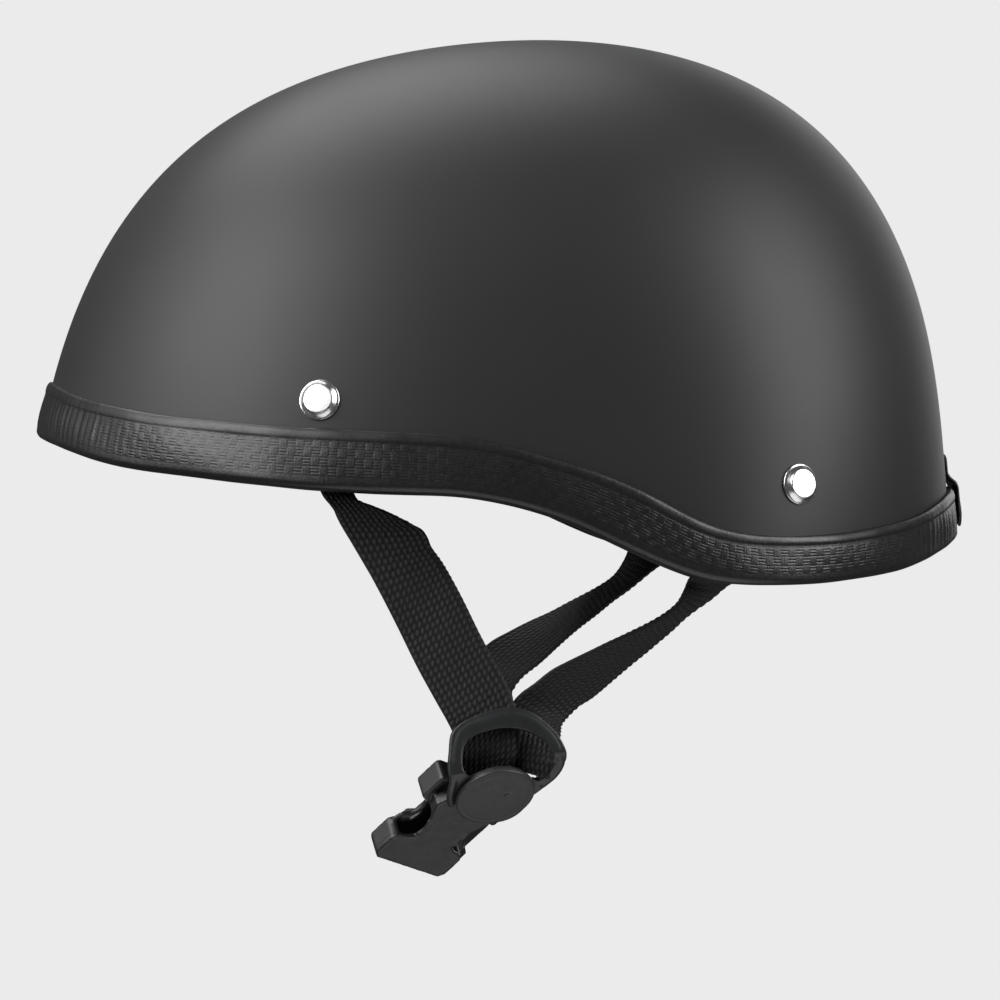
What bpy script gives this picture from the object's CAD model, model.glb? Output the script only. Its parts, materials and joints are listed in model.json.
import bpy
import bmesh
import json
import math
import numpy as np
from mathutils import Matrix, Vector
from mathutils.bvhtree import BVHTree


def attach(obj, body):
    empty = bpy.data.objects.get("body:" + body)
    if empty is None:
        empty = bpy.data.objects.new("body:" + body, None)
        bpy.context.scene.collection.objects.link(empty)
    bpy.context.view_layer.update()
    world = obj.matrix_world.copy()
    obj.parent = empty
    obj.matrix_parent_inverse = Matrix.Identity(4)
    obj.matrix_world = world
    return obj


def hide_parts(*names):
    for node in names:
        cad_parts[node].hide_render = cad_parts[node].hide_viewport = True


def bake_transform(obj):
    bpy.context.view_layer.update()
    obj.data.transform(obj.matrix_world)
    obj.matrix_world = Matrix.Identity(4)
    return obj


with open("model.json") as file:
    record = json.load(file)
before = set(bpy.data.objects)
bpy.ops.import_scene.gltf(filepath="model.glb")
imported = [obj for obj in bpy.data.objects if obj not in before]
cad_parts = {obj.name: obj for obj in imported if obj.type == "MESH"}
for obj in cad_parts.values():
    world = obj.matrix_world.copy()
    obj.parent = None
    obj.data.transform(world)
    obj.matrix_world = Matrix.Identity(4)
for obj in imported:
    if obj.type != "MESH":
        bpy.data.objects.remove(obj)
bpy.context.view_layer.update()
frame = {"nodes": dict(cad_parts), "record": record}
scene = bpy.context.scene
MM = 0.001

# ------------------------------------------------------------------ camera
TARGET = np.array([0.0, 0.6, 20.3]) * MM
BACK = np.array([0.99468869, -0.09402576, 0.04187565])
cam_data = bpy.data.cameras.new("camera")
cam = bpy.data.objects.new("camera", cam_data)
scene.collection.objects.link(cam)
cam_data.sensor_width = 36.0
cam_data.lens = 3.371 * 1700.0 / 1000.0 * 36.0
cam_data.clip_start, cam_data.clip_end = 0.05, 60.0
cam.location = Vector(TARGET + BACK * 1.7)
cam.rotation_mode = "QUATERNION"
cam.rotation_quaternion = Vector(-BACK).to_track_quat("-Z", "Y")
scene.camera = cam

# ------------------------------------------------------------ floor and light
scene.view_settings.view_transform = "Standard"


def mesh_object(name, verts, faces, smooth=True):
    me = bpy.data.meshes.new(name)
    me.from_pydata([tuple(v) for v in verts], [], [tuple(f) for f in faces])
    me.update()
    if smooth:
        me.polygons.foreach_set("use_smooth", [True] * len(me.polygons))
    ob = bpy.data.objects.new(name, me)
    scene.collection.objects.link(ob)
    return ob


def pale_floor():
    """A round pale floor far below the object that curves up into a wall on every side."""
    prof = [(0.0, 0.0), (1.2, 0.0), (2.4, 0.0), (3.4, 0.0)]
    for k in range(1, 13):
        a = k / 12 * math.pi / 2
        prof.append((3.4 + 1.8 * math.sin(a), 1.8 * (1 - math.cos(a))))
    prof += [(5.2, 3.2), (5.2, 5.0), (5.2, 7.5)]
    n = 96
    verts, faces = [(0, 0, 0)], []
    for r, z in prof[1:]:
        for i in range(n):
            a = 2 * math.pi * i / n
            verts.append((r * math.cos(a), r * math.sin(a), z))
    for i in range(n):
        faces.append((0, 1 + i, 1 + (i + 1) % n))
    for k in range(len(prof) - 2):
        for i in range(n):
            a, b = 1 + k * n + i, 1 + k * n + (i + 1) % n
            faces.append((a, a + n, b + n, b))
    ob = mesh_object("pale_floor", verts, faces)
    ob.location = (0, 0, -2.9)
    return ob


floor = pale_floor()
floor_mat = bpy.data.materials.new("pale_floor")
floor_mat.use_nodes = True
nt = floor_mat.node_tree
nt.nodes.clear()
out = nt.nodes.new("ShaderNodeOutputMaterial")
em = nt.nodes.new("ShaderNodeEmission")
em.inputs["Color"].default_value = (0.831, 0.831, 0.831, 1)
em.inputs["Strength"].default_value = 1.0
nt.links.new(em.outputs[0], out.inputs["Surface"])
floor.data.materials.append(floor_mat)
floor.visible_diffuse = False
floor.visible_glossy = False
floor.visible_transmission = False
floor.visible_shadow = False

world = bpy.data.worlds.new("world")
scene.world = world
world.use_nodes = True
world.node_tree.nodes["Background"].inputs["Color"].default_value = (1, 1, 1, 1)
world.node_tree.nodes["Background"].inputs["Strength"].default_value = 0.06


def soft_box(name, azimuth, elevation, distance, size, energy, colour=(1, 1, 1)):
    """Area light at a direction from the object. Azimuth is measured from +X towards +Y."""
    li = bpy.data.lights.new(name, "AREA")
    li.shape = "RECTANGLE"
    li.size, li.size_y = size
    li.energy = energy
    li.color = colour
    ob = bpy.data.objects.new(name, li)
    scene.collection.objects.link(ob)
    a, e = math.radians(azimuth), math.radians(elevation)
    d = Vector((math.cos(a) * math.cos(e), math.sin(a) * math.cos(e), math.sin(e)))
    ob.location = d * distance + Vector((0, 0, 0.05))
    ob.rotation_mode = "QUATERNION"
    ob.rotation_quaternion = d.to_track_quat("Z", "Y")
    ob.visible_camera = False
    return ob


soft_box("light_front_side", -67, 31, 1.7, (1.4, 1.7), 36)
soft_box("light_rear_side", 68, 25.5, 1.7, (0.85, 1.6), 24)
soft_box("light_top", 208, 62, 1.6, (1.3, 1.1), 15)
soft_box("light_far_side", 150, 15, 1.9, (1.0, 1.2), 5)
soft_box("light_front", -108, 20, 1.7, (0.8, 1.2), 2.2)
soft_box("light_rivet", -33, 25.5, 1.5, (0.5, 0.5), 1.1)
soft_box("light_below", 20, -66, 1.6, (1.8, 1.8), 9.5)

# ------------------------------------------------------------------ the form
# the shell's form, the same numbers as the model's
HALF_WIDTH = 112.0
CZ = -80.0
LOG_R = [5.46387, -0.07785, -0.06187, 0.31591, -3.76195, -0.01327, 7.87501, -0.64646, -6.40927, 0.44539, 1.87163]
C0 = np.array([0.0, 0.0, CZ])
RIM = np.array([(-165, 43.5), (-150, 41.6), (-138, 39.8), (-129.6, 37.0), (-118.7, 33.8), (-107.7, 31.9),
                (-96.8, 30.8), (-85.9, 29.7), (-75.1, 28.8), (-64.2, 27.9), (-53, 27.3), (-42.3, 26.8),
                (-31, 26.5), (-20.2, 25.9), (-9.2, 24.1), (1.9, 21.2), (13.1, 17.0), (24.2, 11.8),
                (35.5, 6.7), (46.9, 2.6), (58.6, 0.7), (70.6, 0.2), (83, 0.2), (96, 1.0), (109.7, 2.5),
                (125.1, 6.4), (138, 10.6), (150, 15.0), (165, 20.0)], float)
BAND = np.array([(-165, 64), (-148, 58.6), (-134, 54.6), (-126.8, 50.9), (-116.9, 48.6), (-104.8, 47.4),
                 (-93, 46.8), (-75.4, 45.4), (-57.7, 44.4), (-44.8, 43.8), (-32.1, 43.2), (-19.4, 42.0),
                 (-6.8, 39.8), (3, 37.0), (13, 33.9), (25.1, 29.4), (35, 24.6), (45.7, 19.0),
                 (54, 16.1), (63, 14.5), (74.3, 14.0), (89.5, 14.4), (105.8, 16.1), (114.5, 17.6),
                 (127, 21.6), (138, 25.6), (150, 30.0), (165, 35.5)], float)


def spline_of(pts):
    """Natural cubic spline z(y) through side-view points."""
    x, y = pts[:, 0], pts[:, 1]
    n = len(x)
    hh = np.diff(x)
    A = np.zeros((n, n))
    b = np.zeros(n)
    A[0, 0] = A[-1, -1] = 1
    for i in range(1, n - 1):
        A[i, i - 1], A[i, i], A[i, i + 1] = hh[i - 1], 2 * (hh[i - 1] + hh[i]), hh[i]
        b[i] = 6 * ((y[i + 1] - y[i]) / hh[i] - (y[i] - y[i - 1]) / hh[i - 1])
    m = np.linalg.solve(A, b)

    def f(t):
        t = np.asarray(t, float)
        i = np.clip(np.searchsorted(x, t) - 1, 0, n - 2)
        a, c, d = x[i + 1] - t, t - x[i], hh[i]
        return (m[i] * a ** 3 + m[i + 1] * c ** 3) / (6 * d) + (y[i] / d - m[i] * d / 6) * a + \
            (y[i + 1] / d - m[i + 1] * d / 6) * c
    return f


rim_z = spline_of(RIM)
band_z = spline_of(BAND)


def mid_radius(alpha):
    t = (np.degrees(alpha) - 90) / 75
    return np.exp(np.polynomial.polynomial.polyval(t, LOG_R))


def side_power(alpha):
    return 2.2 + 1.2 * (np.sin(alpha) ** 2 - 0.4) / 0.6


def form_value(p):
    v = np.asarray(p, float) - C0
    alpha = np.arctan2(v[..., 2], v[..., 1])
    rho = np.hypot(v[..., 1], v[..., 2])
    return (np.abs(v[..., 0]) / HALF_WIDTH) ** 2 + (rho / mid_radius(alpha)) ** side_power(alpha) - 1


def form_normal(p):
    e = 0.05
    p = np.asarray(p, float)
    g = np.stack([form_value(p + d) - form_value(p - d) for d in np.eye(3) * e], -1)
    return g / np.linalg.norm(g, axis=-1)[..., None]


def form_ray(d):
    """Point of the outer surface along each direction d from the form's centre."""
    d = d / np.linalg.norm(d, axis=-1)[..., None]
    alpha = np.arctan2(d[..., 2], d[..., 1])
    cl = np.hypot(d[..., 1], d[..., 2])
    rm, m = mid_radius(alpha), side_power(alpha)
    r = 1 / np.sqrt((d[..., 0] / HALF_WIDTH) ** 2 + (cl / rm) ** 2)
    for _ in range(40):
        f = (r * d[..., 0] / HALF_WIDTH) ** 2 + (r * cl / rm) ** m - 1
        df = 2 * r * (d[..., 0] / HALF_WIDTH) ** 2 + m * (r * cl / rm) ** m / r
        r = r - f / df
    return C0 + r[..., None] * d


def form_at(theta, z_of, off):
    """Point on the form offset outward by off, at azimuth theta round the vertical axis, on a side-view line."""
    theta = np.asarray(theta, float)
    c, s = np.cos(theta), np.sin(theta)
    lo, hi = np.full(theta.shape, 20.0), np.full(theta.shape, 170.0)
    for _ in range(50):
        r = (lo + hi) / 2
        p = np.stack([r * c, r * s, z_of(r * s)], -1)
        inside = form_value(p) < 0
        lo, hi = np.where(inside, r, lo), np.where(inside, hi, r)
    p = np.stack([lo * c, lo * s, z_of(lo * s)], -1)
    n = form_normal(p)
    return p + n * off, n


def grid_quads(nu, nv, wrap_u=False, wrap_v=False, base=0):
    """Quads of an nu x nv grid, index = u * nv + v."""
    i, j = np.meshgrid(np.arange(nu if wrap_u else nu - 1), np.arange(nv if wrap_v else nv - 1), indexing="ij")
    i, j = i.reshape(-1), j.reshape(-1)
    i2, j2 = (i + 1) % nu, (j + 1) % nv
    return np.stack([base + i * nv + j, base + i2 * nv + j, base + i2 * nv + j2, base + i * nv + j2], 1)


def fast_mesh(name, verts, quads, smooth=True, tris=None):
    """Mesh from numpy arrays, in millimetres."""
    verts = np.asarray(verts, np.float64).reshape(-1, 3) * MM
    loops = [np.asarray(quads, np.int32).reshape(-1)]
    sizes = [np.full(len(quads), 4, np.int32)]
    if tris is not None and len(tris):
        loops.append(np.asarray(tris, np.int32).reshape(-1))
        sizes.append(np.full(len(tris), 3, np.int32))
    loops, sizes = np.concatenate(loops), np.concatenate(sizes)
    starts = np.concatenate([[0], np.cumsum(sizes)[:-1]]).astype(np.int32)
    me = bpy.data.meshes.new(name)
    me.vertices.add(len(verts))
    me.vertices.foreach_set("co", verts.astype(np.float32).reshape(-1))
    me.loops.add(len(loops))
    me.loops.foreach_set("vertex_index", loops)
    me.polygons.add(len(sizes))
    me.polygons.foreach_set("loop_start", starts)
    me.polygons.foreach_set("loop_total", sizes)
    me.update(calc_edges=True)
    me.validate()
    if smooth:
        me.polygons.foreach_set("use_smooth", np.ones(len(sizes), bool))
    ob = bpy.data.objects.new(name, me)
    scene.collection.objects.link(ob)
    return ob


def set_attribute(ob, name, values):
    at = ob.data.attributes.new(name, "FLOAT", "POINT")
    at.data.foreach_set("value", np.asarray(values, np.float32).reshape(-1))


# ---------------------------------------------------------------- materials
def material(name, base, rough, spec=0.5, metallic=0.0, coat=0.0, coat_rough=0.1, sheen=0.0, sheen_rough=0.4,
             sheen_tint=(1, 1, 1)):
    m = bpy.data.materials.new(name)
    m.use_nodes = True
    b = m.node_tree.nodes["Principled BSDF"]
    b.inputs["Base Color"].default_value = (*base, 1)
    b.inputs["Roughness"].default_value = rough
    b.inputs["Specular IOR Level"].default_value = spec
    b.inputs["Metallic"].default_value = metallic
    b.inputs["Coat Weight"].default_value = coat
    b.inputs["Coat Roughness"].default_value = coat_rough
    b.inputs["Sheen Weight"].default_value = sheen
    b.inputs["Sheen Roughness"].default_value = sheen_rough
    b.inputs["Sheen Tint"].default_value = (*sheen_tint, 1)
    return m


class Nodes:
    """Short hand for building one node tree."""

    def __init__(self, mat):
        self.t = mat.node_tree
        self.bsdf = self.t.nodes["Principled BSDF"]
        self.coord = self.t.nodes.new("ShaderNodeTexCoord").outputs["Object"]

    def add(self, kind, **props):
        n = self.t.nodes.new(kind)
        for k, v in props.items():
            setattr(n, k, v)
        return n

    def link(self, a, b):
        self.t.links.new(a, b)

    def noise(self, scale, detail=2.0, rough=0.5, vec=None):
        n = self.add("ShaderNodeTexNoise")
        n.inputs["Scale"].default_value = scale
        n.inputs["Detail"].default_value = detail
        n.inputs["Roughness"].default_value = rough
        self.link(vec or self.coord, n.inputs["Vector"])
        return n.outputs["Fac"]

    def voronoi(self, scale, feature="F1", vec=None, out="Distance", randomness=1.0):
        n = self.add("ShaderNodeTexVoronoi", feature=feature)
        n.inputs["Scale"].default_value = scale
        n.inputs["Randomness"].default_value = randomness
        self.link(vec or self.coord, n.inputs["Vector"])
        return n.outputs[out]

    def ramp(self, fac, stops):
        n = self.add("ShaderNodeValToRGB")
        el = n.color_ramp.elements
        while len(el) > len(stops):
            el.remove(el[-1])
        while len(el) < len(stops):
            el.new(0.5)
        for e, (p, c) in zip(el, stops):
            e.position = p
            e.color = (*c, 1) if len(c) == 3 else c
        self.link(fac, n.inputs["Fac"])
        return n.outputs["Color"]

    def span(self, val, a, b, c, d):
        n = self.add("ShaderNodeMapRange")
        for k, v in zip(("From Min", "From Max", "To Min", "To Max"), (a, b, c, d)):
            n.inputs[k].default_value = v
        self.link(val, n.inputs["Value"])
        return n.outputs["Result"]

    def math(self, op, a, b=None, c=None):
        n = self.add("ShaderNodeMath", operation=op)
        for i, v in enumerate((a, b, c)):
            if v is None:
                continue
            if isinstance(v, (int, float)):
                n.inputs[i].default_value = v
            else:
                self.link(v, n.inputs[i])
        return n.outputs[0]

    def attribute(self, name):
        return self.add("ShaderNodeAttribute", attribute_name=name).outputs["Fac"]

    def bump(self, height, distance, strength=1.0, normal=None):
        n = self.add("ShaderNodeBump")
        n.inputs["Distance"].default_value = distance
        n.inputs["Strength"].default_value = strength
        self.link(height, n.inputs["Height"])
        if normal is not None:
            self.link(normal, n.inputs["Normal"])
        return n.outputs["Normal"]

    def use(self, **sockets):
        for k, v in sockets.items():
            self.link(v, self.bsdf.inputs[k.replace("_", " ")])


def shell_paint():
    m = material("shell_matt_black", (0.02, 0.0203, 0.021), 0.5, spec=0.5)
    n = Nodes(m)
    tone = n.noise(9.0, 3.0)
    n.use(Base_Color=n.ramp(tone, [(0.35, (0.0138, 0.014, 0.0146)), (0.7, (0.016, 0.0162, 0.0168))]))
    fine = n.noise(2600.0, 2.0)
    n.use(Roughness=n.span(n.noise(14.0, 3.0), 0.3, 0.7, 0.47, 0.53))
    n.use(Normal=n.bump(fine, 0.00002, 0.5))
    return m


def trim_leather():
    m = material("trim_black_leather", (0.018, 0.018, 0.019), 0.42, spec=0.6)
    n = Nodes(m)
    grain = n.voronoi(1500.0, "SMOOTH_F1")
    pores = n.noise(900.0, 4.0, 0.6)
    n.use(Base_Color=n.ramp(n.noise(60.0, 4.0), [(0.3, (0.0085, 0.0086, 0.0092)), (0.75, (0.0125, 0.0125, 0.0132))]))
    n.use(Roughness=n.span(pores, 0.3, 0.7, 0.30, 0.44))
    n1 = n.bump(grain, 0.00006, 0.5)
    n.use(Normal=n.bump(pores, 0.00005, 0.4, n1))
    return m


def polished_metal():
    m = material("polished_nickel", (0.86, 0.865, 0.87), 0.16, metallic=1.0)
    n = Nodes(m)
    n.use(Base_Color=n.ramp(n.noise(500.0, 3.0), [(0.3, (0.8, 0.805, 0.81)), (0.7, (0.9, 0.905, 0.91))]))
    n.use(Roughness=n.span(n.noise(1400.0, 3.0), 0.3, 0.7, 0.2, 0.28))
    n.use(Normal=n.bump(n.noise(700.0, 2.0), 0.000008, 0.25))
    return m


def moulded_plastic(name, base, rough=0.36, grain=0.00002):
    m = material(name, base, rough, spec=0.5)
    n = Nodes(m)
    lo = tuple(c * 0.88 for c in base)
    hi = tuple(c * 1.1 for c in base)
    n.use(Base_Color=n.ramp(n.noise(160.0, 3.0), [(0.3, lo), (0.7, hi)]))
    n.use(Roughness=n.span(n.noise(420.0, 4.0), 0.3, 0.7, rough - 0.05, rough + 0.07))
    n.use(Normal=n.bump(n.noise(2200.0, 3.0), grain, 0.6))
    return m


def eps_foam():
    m = material("black_bead_foam", (0.024, 0.024, 0.025), 0.75, spec=0.3)
    n = Nodes(m)
    cells = n.voronoi(330.0, "DISTANCE_TO_EDGE")
    bead = n.voronoi(330.0, "F1", out="Color")
    n.use(Base_Color=n.ramp(n.math("ADD", n.math("MULTIPLY", cells, 3.0), n.noise(40.0)),
                            [(0.3, (0.013, 0.013, 0.014)), (1.0, (0.032, 0.032, 0.033))]))
    sep = n.add("ShaderNodeSeparateColor")
    n.link(bead, sep.inputs["Color"])
    n.use(Roughness=n.span(sep.outputs[0], 0, 1, 0.6, 0.85))
    n.use(Normal=n.bump(n.math("MINIMUM", cells, 0.28), 0.0012, 0.6))
    return m


def pad_fabric():
    m = material("black_brushed_fabric", (0.016, 0.016, 0.017), 0.9, spec=0.2, sheen=0.35, sheen_rough=0.5)
    n = Nodes(m)
    w1 = n.add("ShaderNodeTexWave", wave_type="BANDS", bands_direction="X")
    w1.inputs["Scale"].default_value = 420.0
    w1.inputs["Distortion"].default_value = 1.2
    n.link(n.coord, w1.inputs["Vector"])
    w2 = n.add("ShaderNodeTexWave", wave_type="BANDS", bands_direction="Y")
    w2.inputs["Scale"].default_value = 420.0
    w2.inputs["Distortion"].default_value = 1.2
    n.link(n.coord, w2.inputs["Vector"])
    weave = n.math("MULTIPLY", w1.outputs["Fac"], w2.outputs["Fac"])
    n.use(Base_Color=n.ramp(n.math("ADD", n.math("MULTIPLY", weave, 0.5), n.noise(90.0, 4.0)),
                            [(0.35, (0.011, 0.011, 0.012)), (1.0, (0.024, 0.024, 0.025))]))
    n1 = n.bump(weave, 0.0003, 0.6)
    n.use(Normal=n.bump(n.noise(1100.0, 4.0), 0.0002, 0.5, n1))
    return m


def webbing_cloth():
    m = material("black_webbing", (0.012, 0.012, 0.0125), 0.62, spec=0.35, sheen=0.12, sheen_rough=0.35)
    n = Nodes(m)
    fibre = n.noise(5200.0, 3.0, 0.6)
    height = n.attribute("yarn")
    n.use(Base_Color=n.ramp(height, [(0.25, (0.0055, 0.0055, 0.006)), (0.85, (0.034, 0.035, 0.0355))]))
    n.use(Roughness=n.span(fibre, 0.3, 0.7, 0.5, 0.72))
    n.use(Normal=n.bump(fibre, 0.00006, 0.6))
    return m


def thin_leather():
    m = material("thin_black_leather", (0.014, 0.014, 0.015), 0.45, spec=0.45)
    n = Nodes(m)
    grain = n.voronoi(1300.0, "SMOOTH_F1")
    n.use(Base_Color=n.ramp(n.noise(120.0, 4.0), [(0.3, (0.011, 0.011, 0.0115)), (0.75, (0.02, 0.0195, 0.0195))]))
    n.use(Roughness=n.span(n.noise(600.0, 3.0), 0.3, 0.7, 0.38, 0.56))
    n1 = n.bump(grain, 0.0001, 0.6)
    n.use(Normal=n.bump(n.noise(350.0, 4.0), 0.0001, 0.4, n1))
    return m


def dark_enamel():
    m = material("black_enamel_metal", (0.03, 0.03, 0.032), 0.28, spec=0.6, coat=0.4, coat_rough=0.12)
    n = Nodes(m)
    n.use(Base_Color=n.ramp(n.noise(300.0, 3.0), [(0.3, (0.026, 0.026, 0.028)), (0.7, (0.036, 0.036, 0.038))]))
    n.use(Roughness=n.span(n.noise(900.0, 3.0), 0.3, 0.7, 0.22, 0.36))
    return m


def zinc_steel():
    m = material("zinc_steel", (0.52, 0.53, 0.54), 0.35, metallic=1.0)
    n = Nodes(m)
    n.use(Base_Color=n.ramp(n.voronoi(260.0, "F1"), [(0.0, (0.44, 0.45, 0.47)), (0.8, (0.6, 0.61, 0.62))]))
    n.use(Roughness=n.span(n.noise(700.0, 3.0), 0.3, 0.7, 0.28, 0.46))
    return m


MAT = {"shell": shell_paint(), "trim": trim_leather(), "rivet": polished_metal(),
       "ring": moulded_plastic("ring_plastic", (0.024, 0.025, 0.026), 0.34),
       "disc": moulded_plastic("disc_plastic", (0.034, 0.0345, 0.0345), 0.42),
       "buckle": moulded_plastic("buckle_plastic", (0.0185, 0.0192, 0.0196), 0.38),
       "foam": eps_foam(), "pad": pad_fabric(), "webbing": webbing_cloth(), "retainer": thin_leather(),
       "snap": dark_enamel(), "washer": zinc_steel()}
SLOT_OF = {s["node"]: s["material_slot"] for s in frame["record"]["subparts"]}
for node, ob in frame["nodes"].items():
    ob.data.materials.clear()
    ob.data.materials.append(MAT[SLOT_OF[node]])


def finish_piece(ob, slot, body, *nodes):
    ob.data.materials.clear()
    ob.data.materials.append(MAT[slot])
    if nodes:
        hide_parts(*nodes)
    if body:
        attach(ob, body)
    return ob


# -------------------------------------------------------------- outer shell
def make_shell():
    """Outer and inner skin from the rim to the crown, closed along the rim inside the trim."""
    n, rings = 360, 120
    th = np.linspace(0, 2 * np.pi, n, endpoint=False)
    edge, _ = form_at(th, lambda y: rim_z(y) + 2.5, 0.0)
    d0 = edge - C0
    d0 /= np.linalg.norm(d0, axis=1)[:, None]
    pole = np.array([0.0, 0.0, 1.0])
    ang = np.arccos(np.clip(d0 @ pole, -1, 1))
    rows = []
    for k in range(rings):
        t = (k / rings) ** 0.92
        a = ang * (1 - t)
        side = d0 - np.outer(d0 @ pole, pole)
        side /= np.linalg.norm(side, axis=1)[:, None]
        rows.append(form_ray(np.cos(a)[:, None] * pole + np.sin(a)[:, None] * side))
    outer = np.stack(rows)                                # rings x n x 3
    nrm = form_normal(outer)
    inner = outer - nrm * 4.0
    top_o = form_ray(pole[None])[0]
    top_i = top_o - form_normal(top_o[None])[0] * 4.0
    verts = np.concatenate([outer.reshape(-1, 3), inner.reshape(-1, 3), [top_o], [top_i]])
    m = rings * n
    quads, tris = [], []
    for k in range(rings - 1):
        for i in range(n):
            j = (i + 1) % n
            quads.append((k * n + i, k * n + j, (k + 1) * n + j, (k + 1) * n + i))
            quads.append((m + k * n + j, m + k * n + i, m + (k + 1) * n + i, m + (k + 1) * n + j))
    for i in range(n):
        j = (i + 1) % n
        quads.append((j, i, m + i, m + j))
        tris.append(((rings - 1) * n + i, (rings - 1) * n + j, 2 * m))
        tris.append((m + (rings - 1) * n + j, m + (rings - 1) * n + i, 2 * m + 1))
    ob = fast_mesh("shell_skin", verts, quads, tris=tris)
    return finish_piece(ob, "shell", "helmet", "outer_shell")


make_shell()

# ---------------------------------------------------------------- edge trim
TRIM_CELL = (2.5, 2.6)      # one cell of the basket weave, along and across


def smooth_step(x, a, b):
    t = np.clip((x - a) / (b - a), 0, 1)
    return t * t * (3 - 2 * t)


def rim_frame(stations):
    """Stations evenly spaced along the rim's lower line: point, tangent, outward normal, up along the wall, height."""
    th = np.linspace(-np.pi / 2, 1.5 * np.pi, 2401)
    p, _ = form_at(th, rim_z, 0.0)
    s = np.concatenate([[0], np.cumsum(np.linalg.norm(np.diff(p, axis=0), axis=1))])
    length = s[-1]
    want = np.arange(stations) / stations * length
    th_i = np.interp(want, s, th)
    p, n = form_at(th_i, rim_z, 0.0)
    t = np.roll(p, -1, 0) - np.roll(p, 1, 0)
    t = (np.roll(t, -3, 0) + np.roll(t, 3, 0) + t)
    t -= (t * n).sum(1)[:, None] * n
    t /= np.linalg.norm(t, axis=1)[:, None]
    u = np.cross(n, t)
    u *= np.sign(u[:, 2])[:, None]
    hgt = np.full(stations, 16.0)
    for _ in range(8):
        q = p + u * hgt[:, None]
        q = form_ray(q - C0)
        hgt -= (q[:, 2] - band_z(q[:, 1])) / np.maximum(u[:, 2], 0.5)
    k = np.ones(41) / 41
    hgt = np.convolve(np.concatenate([hgt[-20:], hgt, hgt[:20]]), k, "valid")
    return want, length, p, t, n, u, hgt + 2.0 * smooth_step(-p[:, 1], 92, 130)


def trim_profile(h):
    """Closed section of the trim, (u up the wall, n outward), for a trim h mm high, with the embossed face's share."""
    pts = []
    # rounded shoulder along the upper edge, from the shell side over the top and down
    for a in np.radians(np.linspace(192, 96, 9)):
        pts.append((h - 1.25 + 1.25 * np.sin(a), 1.15 + 1.2 * np.cos(a), 0.0))
    for a in np.radians(np.linspace(84, -12, 10)):
        pts.append((h - 2.3 + 2.3 * np.sin(a), 1.15 + 1.16 * np.cos(a), 0.0))
    # barely a groove under the shoulder
    pts.append((h - 3.05, 2.22, 0.0))
    pts.append((h - 3.3, 2.16, 0.0))
    top, low = h - 3.5, 3.1
    nface = 54
    for k in range(nface + 1):
        f = k / nface
        pts.append((top + (low - top) * f, 2.14 + 0.16 * np.sin(np.pi * f), 1.0))
    # rounded lower edge and underside
    for a in np.radians(np.linspace(10, 96, 9)):
        pts.append((2.35 - 2.35 * np.sin(a), -0.25 + 2.42 * np.cos(a), 0.0))
    for n_ in (-1.2, -2.2, -3.2, -4.2):
        pts.append((0.0 + 0.02 * (n_ + 2.7) ** 2, n_, 0.0))
    for a in np.radians(np.linspace(84, 8, 7)):
        pts.append((2.1 - 2.1 * np.sin(a), -4.55 - 2.0 * np.cos(a), 0.0))
    # inner leg, facing the head
    for u_ in (3.4, 4.6, 5.8, 7.0, 8.2, 9.2):
        pts.append((u_, -6.5, 0.0))
    for a in np.radians(np.linspace(20, 160, 6)):
        pts.append((9.4 + 0.9 * np.sin(a), -5.3 - 1.2 * np.cos(a), 0.0))
    # back down inside the channel, under the shell's edge and up its outer face
    pts += [(7.5, -4.04, 0.0), (5.0, -4.04, 0.0), (2.6, -4.04, 0.0), (2.46, -3.6, 0.0), (2.46, -2.0, 0.0),
            (2.46, -0.4, 0.0), (2.6, 0.04, 0.0), (6.0, 0.04, 0.0), (h - 4.0, 0.04, 0.0)]
    return np.array(pts)


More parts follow.
